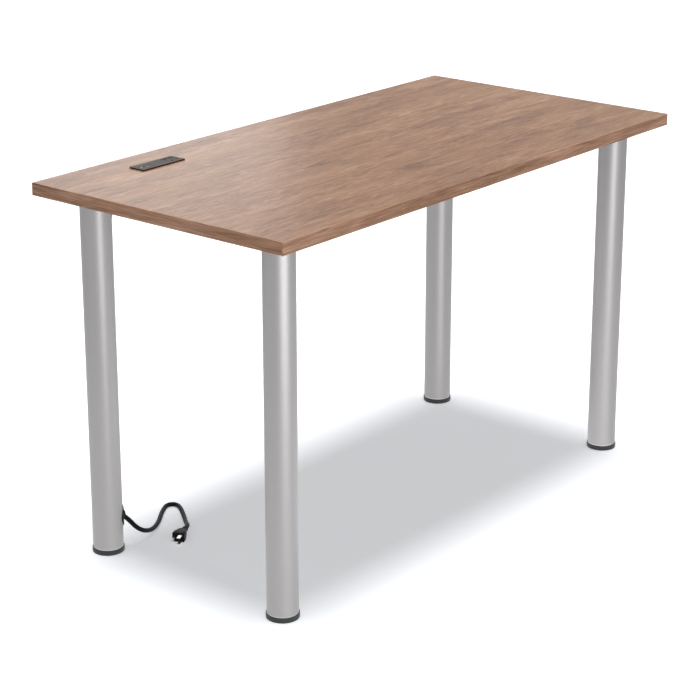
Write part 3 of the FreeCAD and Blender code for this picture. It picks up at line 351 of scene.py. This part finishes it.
def silver_paint(metal):
    """Satin silver paint: fine flake, a faint orange peel and a bare rim at the tube's end."""
    finish = Finish("silver_paint", specular_ior_level=0.5)
    flake = finish.flakes(0.0005)
    peel = finish.noise(0.0035)
    cloud = finish.noise((0.05, 0.05, 0.4))
    height = finish.parts(finish.point)[2]
    rim = 1 - finish.rise(height, *LEG_RIM)
    base = tuple(metal.paint)
    tone = finish.ramp(flake * 0.5 + cloud * 0.5,
                       (0.2, shade(base, 0.93)), (0.8, shade(base, 1.07)))
    tone = finish.mix(rim, tone, tuple(metal.rim))
    roughness = metal.paint_roughness + 0.06 * (peel - 0.5) - 0.12 * rim
    finish.paint(tone, roughness, metallic=0.85 + 0.1 * (flake - 0.5))
    finish.bump(peel, 0.00002)
    return finish.material


def plated(name, base, roughness):
    """Plated or cast metal: cloudy sheen and fine tool marks."""
    finish = Finish(name, metallic=1)
    cloud = finish.noise(0.006, detail=4)
    marks = finish.noise((0.004, 0.004, 0.0003))
    tone = finish.ramp(cloud, (0.3, shade(base, 0.8)), (0.7, shade(base, 1.08)))
    finish.paint(tone, roughness + 0.2 * (cloud - 0.5) + 0.08 * (marks - 0.5))
    finish.bump(cloud * 0.6 + marks * 0.4, 0.00003)
    return finish.material


def thread_steel(metal):
    """Plated steel, with painted shade in the roots of its thread."""
    finish = Finish("thread_steel", metallic=1)
    root = finish.add("ShaderNodeAttribute", {"attribute_name": "root"}, output="Fac")
    cloud = finish.noise(0.005, detail=3)
    marks = finish.noise((0.002, 0.002, 0.0003))
    base = tuple(metal.plate)
    tone = finish.ramp(cloud, (0.3, shade(base, 0.8)), (0.7, base))
    # Painted shade: the thread's roots are painted darker.
    tone = finish.mix(root * 0.7, tone, shade(base, 0.4))
    finish.paint(tone, 0.3 + 0.15 * cloud + 0.2 * root)
    finish.bump(marks, 0.00002)
    return finish.material


def moulded(name, base, roughness, grain=0.0007, relief=0.00003, face=None, **constants):
    """Moulded plastic or rubber: spark-eroded grain, a cloudy gloss and light scuffs.

    Where the height of an upper face is given, openings in it are painted nearly black below that
    face, as painted shade.
    """
    finish = Finish(name, **constants)
    texture = finish.noise(grain)
    cloud = finish.noise(0.02, detail=4)
    scratches = finish.noise((0.014, 0.0016, 0.0016), detail=3, shift=(4.2, 1.3, 7.7))
    scuff = finish.rise(scratches, 0.62, 0.8)
    tone = finish.ramp(cloud * 0.6 + texture * 0.4,
                       (0.3, shade(base, 0.82)), (0.7, shade(base, 1.2)))
    tone = finish.mix(scuff * 0.35, tone, shade(base, 1.7))
    if face is not None:
        # Painted shade: below the upper face, the openings are painted nearly black.
        depth = face - finish.parts(finish.point)[2]
        tone = finish.mix(finish.rise(depth, 0.00005, 0.0002), tone, shade(base, 0.1))
    finish.paint(tone, roughness + 0.14 * (cloud - 0.5) + 0.1 * scuff)
    finish.bump(texture, relief)
    return finish.material


def circuit_board():
    """Green lacquer over copper tracks."""
    finish = Finish("board_laminate")
    layout = finish.noise((0.009, 0.0022, 0.01), detail=0, shift=(2, 5, 1))
    tracks = finish.rise(layout, 0.5, 0.53)
    glass = finish.noise(0.0006)
    green = finish.ramp(glass, (0.3, linear(14, 66, 40)), (0.7, linear(22, 88, 54)))
    finish.paint(finish.mix(tracks * 0.5, green, linear(52, 118, 66)), 0.3 + 0.2 * glass)
    finish.bump(tracks, 0.00004)
    return finish.material


# Pieces

# The edge bands beside the top: rougher, with streaks longer by one factor and thinner by another
EDGE_ROUGHER = 0.1
EDGE_DRAWN, EDGE_THIN = 2.2, 1.5


class FinishTop(bpy.types.Operator):
    """Gives the layers and edge bands of the top their finishes"""
    bl_idname = "desk.finish_top"
    bl_label = "Finish the top"

    def execute(self, context):
        wood = context.scene.desk_wood
        # The edge bands take colours paler than the top's, as painted light on their upright faces.
        edge = tuple(wood.edge_dark), tuple(wood.edge_middle), tuple(wood.edge_pale)
        top = tuple(wood.dark), tuple(wood.middle), tuple(wood.pale)
        assign(walnut("walnut_laminate", 0, *top, wood, wood.roughness), "top_laminate")
        edge_look = *edge, wood, wood.roughness + EDGE_ROUGHER, EDGE_DRAWN, EDGE_THIN
        assign(walnut("walnut_edge_long", 0, *edge_look), "edge_band_front", "edge_band_rear")
        assign(walnut("walnut_edge_short", 1, *edge_look), "edge_band_left", "edge_band_right")
        assign(particle_board(), "panel_core")
        assign(backer_sheet(), "bottom_backer")
        return {"FINISHED"}


class FinishLegs(bpy.types.Operator):
    """Gives the legs, their mounts and their screws their finishes"""
    bl_idname = "desk.finish_legs"
    bl_label = "Finish the legs"

    def execute(self, context):
        metal = context.scene.desk_metal
        assign(silver_paint(metal), *each_corner("leg_tube"))
        assign(plated("mount_metal", tuple(metal.casting), 0.5), *each_corner("leg_mount"))
        steel = plated("fastener_steel", tuple(metal.plate), 0.34)
        assign(steel, "mount_screws", "leg_set_screws", "foot_nuts", "bracket_screws",
               "case_screws")
        return {"FINISHED"}


STEM_SIDES = 48
STEM_ROWS = 280


def stem_mesh(low, high, feet):
    """Foot's stem, turned about its upright axis: a flat head, then a shank with a thread.

    At height z and angle a, the shank's radius falls by the thread's depth times the distance of
    z / pitch - a / turn from the nearest whole number, doubled. The thread runs in over its second
    turn, and the upper end is bevelled.
    """
    angle = np.arange(STEM_SIDES) * math.tau / STEM_SIDES
    shank_foot = low.z + feet.head_height
    height = np.linspace(shank_foot, high.z, STEM_ROWS)[:, None]
    phase = height / feet.pitch - angle / math.tau
    run_in = np.clip((height - shank_foot) / feet.pitch - 1, 0, 1)
    root = 2 * np.abs(phase - np.round(phase)) * run_in
    bevelled = feet.shank_radius - feet.bevel + (high.z - height)
    shank = np.minimum(feet.shank_radius - feet.thread_depth * root, bevelled)
    head_radius = (high.x - low.x) / 2
    radius = np.vstack([np.full((2, STEM_SIDES), head_radius), shank])
    rows = np.vstack([[[low.z]], [[shank_foot]], height])
    centre = (low + high) / 2
    x = centre.x + radius * np.cos(angle)
    y = centre.y + radius * np.sin(angle)
    z = np.broadcast_to(rows, radius.shape)
    number = np.arange(radius.size).reshape(radius.shape)
    after = np.roll(number, -1, axis=1)
    sides = np.stack([number[:-1], after[:-1], after[1:], number[1:]], axis=-1).reshape(-1, 4)
    ends = [number[0, ::-1].tolist(), number[-1].tolist()]
    points = np.column_stack([x.ravel(), y.ravel(), z.ravel()])
    mesh = bpy.data.meshes.new("threaded_stem")
    mesh.from_pydata(points.tolist(), [], sides.tolist() + ends)
    smooth = np.zeros(len(mesh.polygons), dtype=bool)
    smooth[2 * STEM_SIDES:-len(ends)] = True
    mesh.polygons.foreach_set("use_smooth", smooth)
    # How far each point lies into the thread's roots, kept for the painted shade there.
    shade_of_root = mesh.attributes.new("root", "FLOAT", "POINT")
    shade_of_root.data.foreach_set("value", np.vstack([np.zeros((2, STEM_SIDES)), root]).ravel())
    return mesh


class FinishFeet(bpy.types.Operator):
    """Cuts the thread on the feet's stems and gives the levelling feet their finishes"""
    bl_idname = "desk.finish_feet"
    bl_label = "Finish the feet"

    def execute(self, context):
        plastic = context.scene.desk_plastic
        assign(moulded("foot_black", tuple(plastic.foot), 0.5), *each_corner("foot_pad"))
        assign(moulded("insert_plastic", tuple(plastic.insert), 0.55), *each_corner("foot_insert"))
        steel = thread_steel(context.scene.desk_metal)
        for corner in CORNERS:
            node = f"foot_stem_{corner}"
            mesh = stem_mesh(*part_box(node), context.scene.desk_feet)
            stem = bpy.data.objects.new(f"threaded_stem_{corner}", mesh)
            stem.data.materials.append(steel)
            context.scene.collection.objects.link(stem)
            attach(stem, node)
            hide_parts(node)
        return {"FINISHED"}


# Colours of the wires' jackets, as a paint card gives them
WIRE_COLOURS = {
    "wire_line": (26, 26, 28),
    "wire_neutral": (214, 214, 210),
    "wire_ground": (30, 112, 52),
}


class FinishModule(bpy.types.Operator):
    """Gives the power module in the top, and what it holds, their finishes"""
    bl_idname = "desk.finish_module"
    bl_label = "Finish the power module"

    def execute(self, context):
        plastic, metal = context.scene.desk_plastic, context.scene.desk_metal
        bezel = tuple(plastic.bezel)
        assign(moulded("bezel_plastic", bezel, 0.45, specular_ior_level=0.05), "module_bezel")
        # Below the outlet's face, its openings get painted shade.
        outlet_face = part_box("outlet_body")[1].z
        outlet = moulded("outlet_plastic", shade(bezel, 0.8), 0.45, face=outlet_face,
                         specular_ior_level=0.05)
        assign(outlet, "outlet_body", "outlet_base")
        assign(moulded("case_plastic", tuple(plastic.case), 0.55), "module_housing", "module_base")
        assign(plated("bracket_metal", tuple(metal.casting), 0.42), "module_brackets")
        brass = plated("contact_brass", tuple(metal.brass), 0.3)
        assign(brass, "contact_line", "contact_neutral", "contact_ground")
        port = plated("port_steel", tuple(metal.port), 0.28)
        assign(port, "usb_port_left", "usb_port_right")
        assign(moulded("tongue_plastic", tuple(plastic.tongue), 0.4), "usb_tongues")
        assign(circuit_board(), "usb_board")
        component = moulded("component_case", tuple(plastic.component), 0.45)
        assign(component, "usb_transformer", "usb_capacitor")
        for name, card in WIRE_COLOURS.items():
            assign(moulded(f"{name}_jacket", linear(*card), 0.45), name)
        return {"FINISHED"}


# The free cord's route, in millimetres: it leaves the grommet on the rear left leg, falls to the
# floor, turns in one loose fold and ends in the plug
CORD_ROUTE = np.array([
    (-490.08, 209.73, 61), (-480.11, 206.1, 50.39), (-469.25, 202.8, 35), (-455.25, 200.8, 23),
    (-438.25, 202.8, 14.6), (-418.25, 208.8, 8.6), (-397.25, 218.8, 5.6), (-374.25, 232.8, 4.7),
    (-350.25, 250.8, 4.7), (-332.25, 262.8, 4.7), (-317.25, 271.3, 4.7), (-305.75, 273.8, 4.7),
    (-296.25, 267.3, 4.7), (-295.75, 255.8, 4.7), (-302.75, 242.3, 4.7), (-314.25, 226.3, 4.7),
    (-327.25, 209.3, 4.7), (-341.25, 192.3, 4.7), (-353.75, 176.8, 7), (-363.25, 164.8, 10.1),
    (-376.25, 158.8, 10.1),
]) / 1000


class LayCord(bpy.types.Operator):
    """Lays the free end of the supply cord, and finishes the pieces on it"""
    bl_idname = "desk.lay_cord"
    bl_label = "Lay the cord"

    def execute(self, context):
        plastic, metal = context.scene.desk_plastic, context.scene.desk_metal
        diameter = context.scene.desk_cord.diameter
        jacket = moulded("cord_jacket", tuple(plastic.jacket), 0.42, grain=0.0012, relief=0.00002,
                         specular_ior_level=0.08)
        curve = bpy.data.curves.new("supply_cord", "CURVE")
        curve.dimensions = "3D"
        curve.bevel_depth = diameter / 2
        curve.bevel_resolution = 6
        curve.resolution_u = 10
        curve.use_fill_caps = True
        spline = curve.splines.new("NURBS")
        spline.points.add(len(CORD_ROUTE) - 1)
        weights = np.ones(len(CORD_ROUTE))
        spline.points.foreach_set("co", np.column_stack([CORD_ROUTE, weights]).ravel())
        spline.order_u = 3
        spline.use_endpoint_u = True
        curve.materials.append(jacket)
        cord = bpy.data.objects.new("supply_cord", curve)
        context.scene.collection.objects.link(cord)
        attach(cord, "desk")
        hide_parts("cord_free")
        assign(jacket, "cord_inside")
        rubber = moulded("moulded_rubber", tuple(plastic.rubber), 0.45, specular_ior_level=0.08)
        assign(rubber, "plug_body", "exit_grommet", "entry_grommet", "module_strain_relief")
        assign(plated("plug_metal", tuple(metal.pins), 0.3), "plug_blades", "plug_ground_pin")
        return {"FINISHED"}


# Stage
CAMERA_PLACE = Vector((-3.0456, -2.4436, 1.6953))
CAMERA_RIGHT = Vector((0.6335, -0.7737, 0))
CAMERA_FORWARD = Vector((0.7362, 0.6028, -0.3077))
PICTURE_SIDE = 700
PICTURE_AXIS = (350.41, 292.78)
SENSOR_WIDTH = 36
FLOOR_REACH = 40.0
FLOOR_STEPS = 9
FLOOR_DULL, FLOOR_PALE = (0.88, 0.895, 0.92), (0.9, 0.915, 0.94)
FLOOR_TINT = (0.93, 0.965, 1)
# The floor in gloss: how white it is far off, and between which distances it fades
GLOSS_FAR_WHITE = (0.69, 0.69, 0.69)
GLOSS_NEAR, GLOSS_FAR = 0.8, 2.4
# Each panel lamp: its size, its place and the point that it faces
FRONT_LAMP = (0.4, 0.6), (-1.0, -3.4, 0.33), (-0.3, 0, 0.5)
SIDE_LAMP = (1.5, 0.5), (-1.0, -1.88, 0.35), (-0.4, 0, 0.5)
LOW_LAMP = (0.75, 0.75), (0.15, -0.4, 0.005), (0.15, -0.4, 1)
SHEEN_LAMP = (0.9, 0.5), (1.6, 2.22, 1.49), (-0.45, 0.17, 0.73)
OVERHEAD_PLACE = (0, 0, 5)


def floor_sheet():
    """Flat square round the desk: x and y run evenly over a grid and z is nought."""
    steps = np.linspace(-FLOOR_REACH, FLOOR_REACH, FLOOR_STEPS)
    x, y = np.meshgrid(steps, steps, indexing="ij")
    points = np.column_stack([x.ravel(), y.ravel(), np.zeros(x.size)])
    number = np.arange(x.size).reshape(x.shape)
    corners = number[:-1, :-1], number[1:, :-1], number[1:, 1:], number[:-1, 1:]
    faces = np.stack(corners, axis=-1).reshape(-1, 4)
    mesh = bpy.data.meshes.new("floor")
    mesh.from_pydata(points.tolist(), [], faces.tolist())
    return mesh


def floor_finish(glow):
    """Pale floor that keeps shadows, with an even white added for the camera.

    In gloss it is a white that fades away from the desk.
    """
    finish = Finish("studio_floor", roughness=0.9, specular_ior_level=0)
    cloud = finish.noise(1.5)
    finish.paint(finish.ramp(cloud, (0.2, FLOOR_DULL), (0.8, FLOOR_PALE)))
    camera, gloss, through = (finish.add("ShaderNodeLightPath", output=name)
                              for name in ("Is Camera Ray", "Is Glossy Ray", "Is Transmission Ray"))
    seen = (camera + through) * glow
    added = finish.add("ShaderNodeEmission", sockets={"Color": FLOOR_TINT, "Strength": seen})
    plain = Value(finish, finish.shader.outputs[0])
    lit = finish.add("ShaderNodeAddShader", sockets={0: plain, 1: added})
    x, y = finish.parts(finish.point)[:2]
    far = finish.rise(x * x + y * y, GLOSS_NEAR ** 2, GLOSS_FAR ** 2)
    shown = finish.mix(far, (1, 1, 1), GLOSS_FAR_WHITE)
    white = finish.add("ShaderNodeEmission", sockets={"Color": shown, "Strength": 1})
    output = next(node for node in finish.tree.nodes if node.type == "OUTPUT_MATERIAL")
    surface = finish.add("ShaderNodeMixShader", sockets={0: gloss, 1: lit, 2: white})
    finish.feed(output.inputs["Surface"], surface)
    return finish.material


def hang(light, place, target):
    """Puts a lamp at a place, aimed at a target and unseen by the camera."""
    lamp = bpy.data.objects.new(light.name, light)
    lamp.location = place
    lamp.rotation_euler = (Vector(target) - Vector(place)).to_track_quat("-Z", "Y").to_euler()
    lamp.visible_camera = False
    bpy.context.scene.collection.objects.link(lamp)
    return lamp


def panel_lamp(name, power, size, place, target, gloss):
    """Flat lamp that either shows in glossy surfaces or lights the rest."""
    light = bpy.data.lights.new(name, "AREA")
    light.energy = power
    light.shape = "RECTANGLE"
    light.size, light.size_y = size
    lamp = hang(light, place, target)
    lamp.visible_glossy = gloss
    lamp.visible_diffuse = not gloss


def overhead_lamp(level, spread):
    """Even light from above: at level one, a white surface that faces it is white."""
    light = bpy.data.lights.new("overhead_lamp", "SUN")
    light.energy = level * math.pi
    light.angle = spread
    hang(light, OVERHEAD_PLACE, (0, 0, 0))


def surroundings(strength):
    """World that lights evenly, and looks white to the camera and in gloss."""
    world = bpy.data.worlds.new("studio")
    world.use_nodes = True
    nodes, links = world.node_tree.nodes, world.node_tree.links
    nodes.clear()
    path = nodes.new("ShaderNodeLightPath")
    seen = path.outputs["Is Camera Ray"]
    for ray in ("Is Glossy Ray", "Is Transmission Ray"):
        either = nodes.new("ShaderNodeMath")
        either.operation = "MAXIMUM"
        links.new(seen, either.inputs[0])
        links.new(path.outputs[ray], either.inputs[1])
        seen = either.outputs[0]
    level = nodes.new("ShaderNodeMapRange")
    level.inputs["To Min"].default_value = strength
    level.inputs["To Max"].default_value = 1
    links.new(seen, level.inputs["Value"])
    background = nodes.new("ShaderNodeBackground")
    background.inputs["Color"].default_value = (1, 1, 1, 1)
    links.new(level.outputs[0], background.inputs["Strength"])
    output = nodes.new("ShaderNodeOutputWorld")
    links.new(background.outputs[0], output.inputs["Surface"])
    bpy.context.scene.world = world


class SetStage(bpy.types.Operator):
    """Sets up the floor, the light and the camera"""
    bl_idname = "desk.set_stage"
    bl_label = "Set the stage"

    def execute(self, context):
        settings = context.scene.desk_stage
        floor = bpy.data.objects.new("floor", floor_sheet())
        floor.data.materials.append(floor_finish(settings.floor_glow))
        context.scene.collection.objects.link(floor)
        surroundings(settings.ambient)
        overhead_lamp(settings.overhead, settings.overhead_spread)
        panel_lamp("front_lamp", settings.front, *FRONT_LAMP, gloss=False)
        panel_lamp("side_lamp", settings.side, *SIDE_LAMP, gloss=True)
        panel_lamp("low_lamp", settings.low, *LOW_LAMP, gloss=True)
        panel_lamp("sheen_lamp", settings.sheen, *SHEEN_LAMP, gloss=True)
        lens = bpy.data.cameras.new("camera")
        lens.lens = settings.lens
        lens.sensor_width = SENSOR_WIDTH
        lens.shift_x = (PICTURE_SIDE / 2 - PICTURE_AXIS[0]) / PICTURE_SIDE
        lens.shift_y = (PICTURE_AXIS[1] - PICTURE_SIDE / 2) / PICTURE_SIDE
        camera = bpy.data.objects.new("camera", lens)
        right = CAMERA_RIGHT.normalized()
        back = -CAMERA_FORWARD.normalized()
        axes = Matrix((right, back.cross(right), back)).transposed()
        camera.matrix_world = Matrix.Translation(CAMERA_PLACE) @ axes.to_4x4()
        context.scene.collection.objects.link(camera)
        context.scene.camera = camera
        context.scene.view_settings.view_transform = "Standard"
        return {"FINISHED"}


class DeskPanel(bpy.types.Panel):
    """Lists the desk's settings and steps"""
    bl_idname = "VIEW3D_PT_desk"
    bl_label = "Writing desk"
    bl_space_type = "VIEW_3D"
    bl_region_type = "UI"
    bl_category = "Desk"

    def draw(self, context):
        for name, settings in SETTINGS.items():
            group = getattr(context.scene, name)
            box = self.layout.box()
            box.label(text=settings.__doc__)
            for setting in settings.__annotations__:
                box.prop(group, setting)
        for operator in OPERATORS:
            self.layout.operator(operator.bl_idname)


SETTINGS = {
    "desk_wood": WoodSettings,
    "desk_metal": MetalSettings,
    "desk_plastic": PlasticSettings,
    "desk_feet": FeetSettings,
    "desk_cord": CordSettings,
    "desk_stage": StageSettings,
}
OPERATORS = (FinishTop, FinishLegs, FinishFeet, FinishModule, LayCord, SetStage)


def register():
    for item in (*SETTINGS.values(), *OPERATORS, DeskPanel):
        bpy.utils.register_class(item)
    for name, settings in SETTINGS.items():
        setattr(bpy.types.Scene, name, PointerProperty(type=settings))


def unregister():
    for name in SETTINGS:
        delattr(bpy.types.Scene, name)
    for item in (DeskPanel, *OPERATORS, *SETTINGS.values()):
        bpy.utils.unregister_class(item)


def main():
    register()
    bpy.ops.desk.set_stage()
    bpy.ops.desk.lay_cord()
    bpy.ops.desk.finish_top()
    bpy.ops.desk.finish_legs()
    bpy.ops.desk.finish_feet()
    bpy.ops.desk.finish_module()


if __name__ == "__main__":
    main()
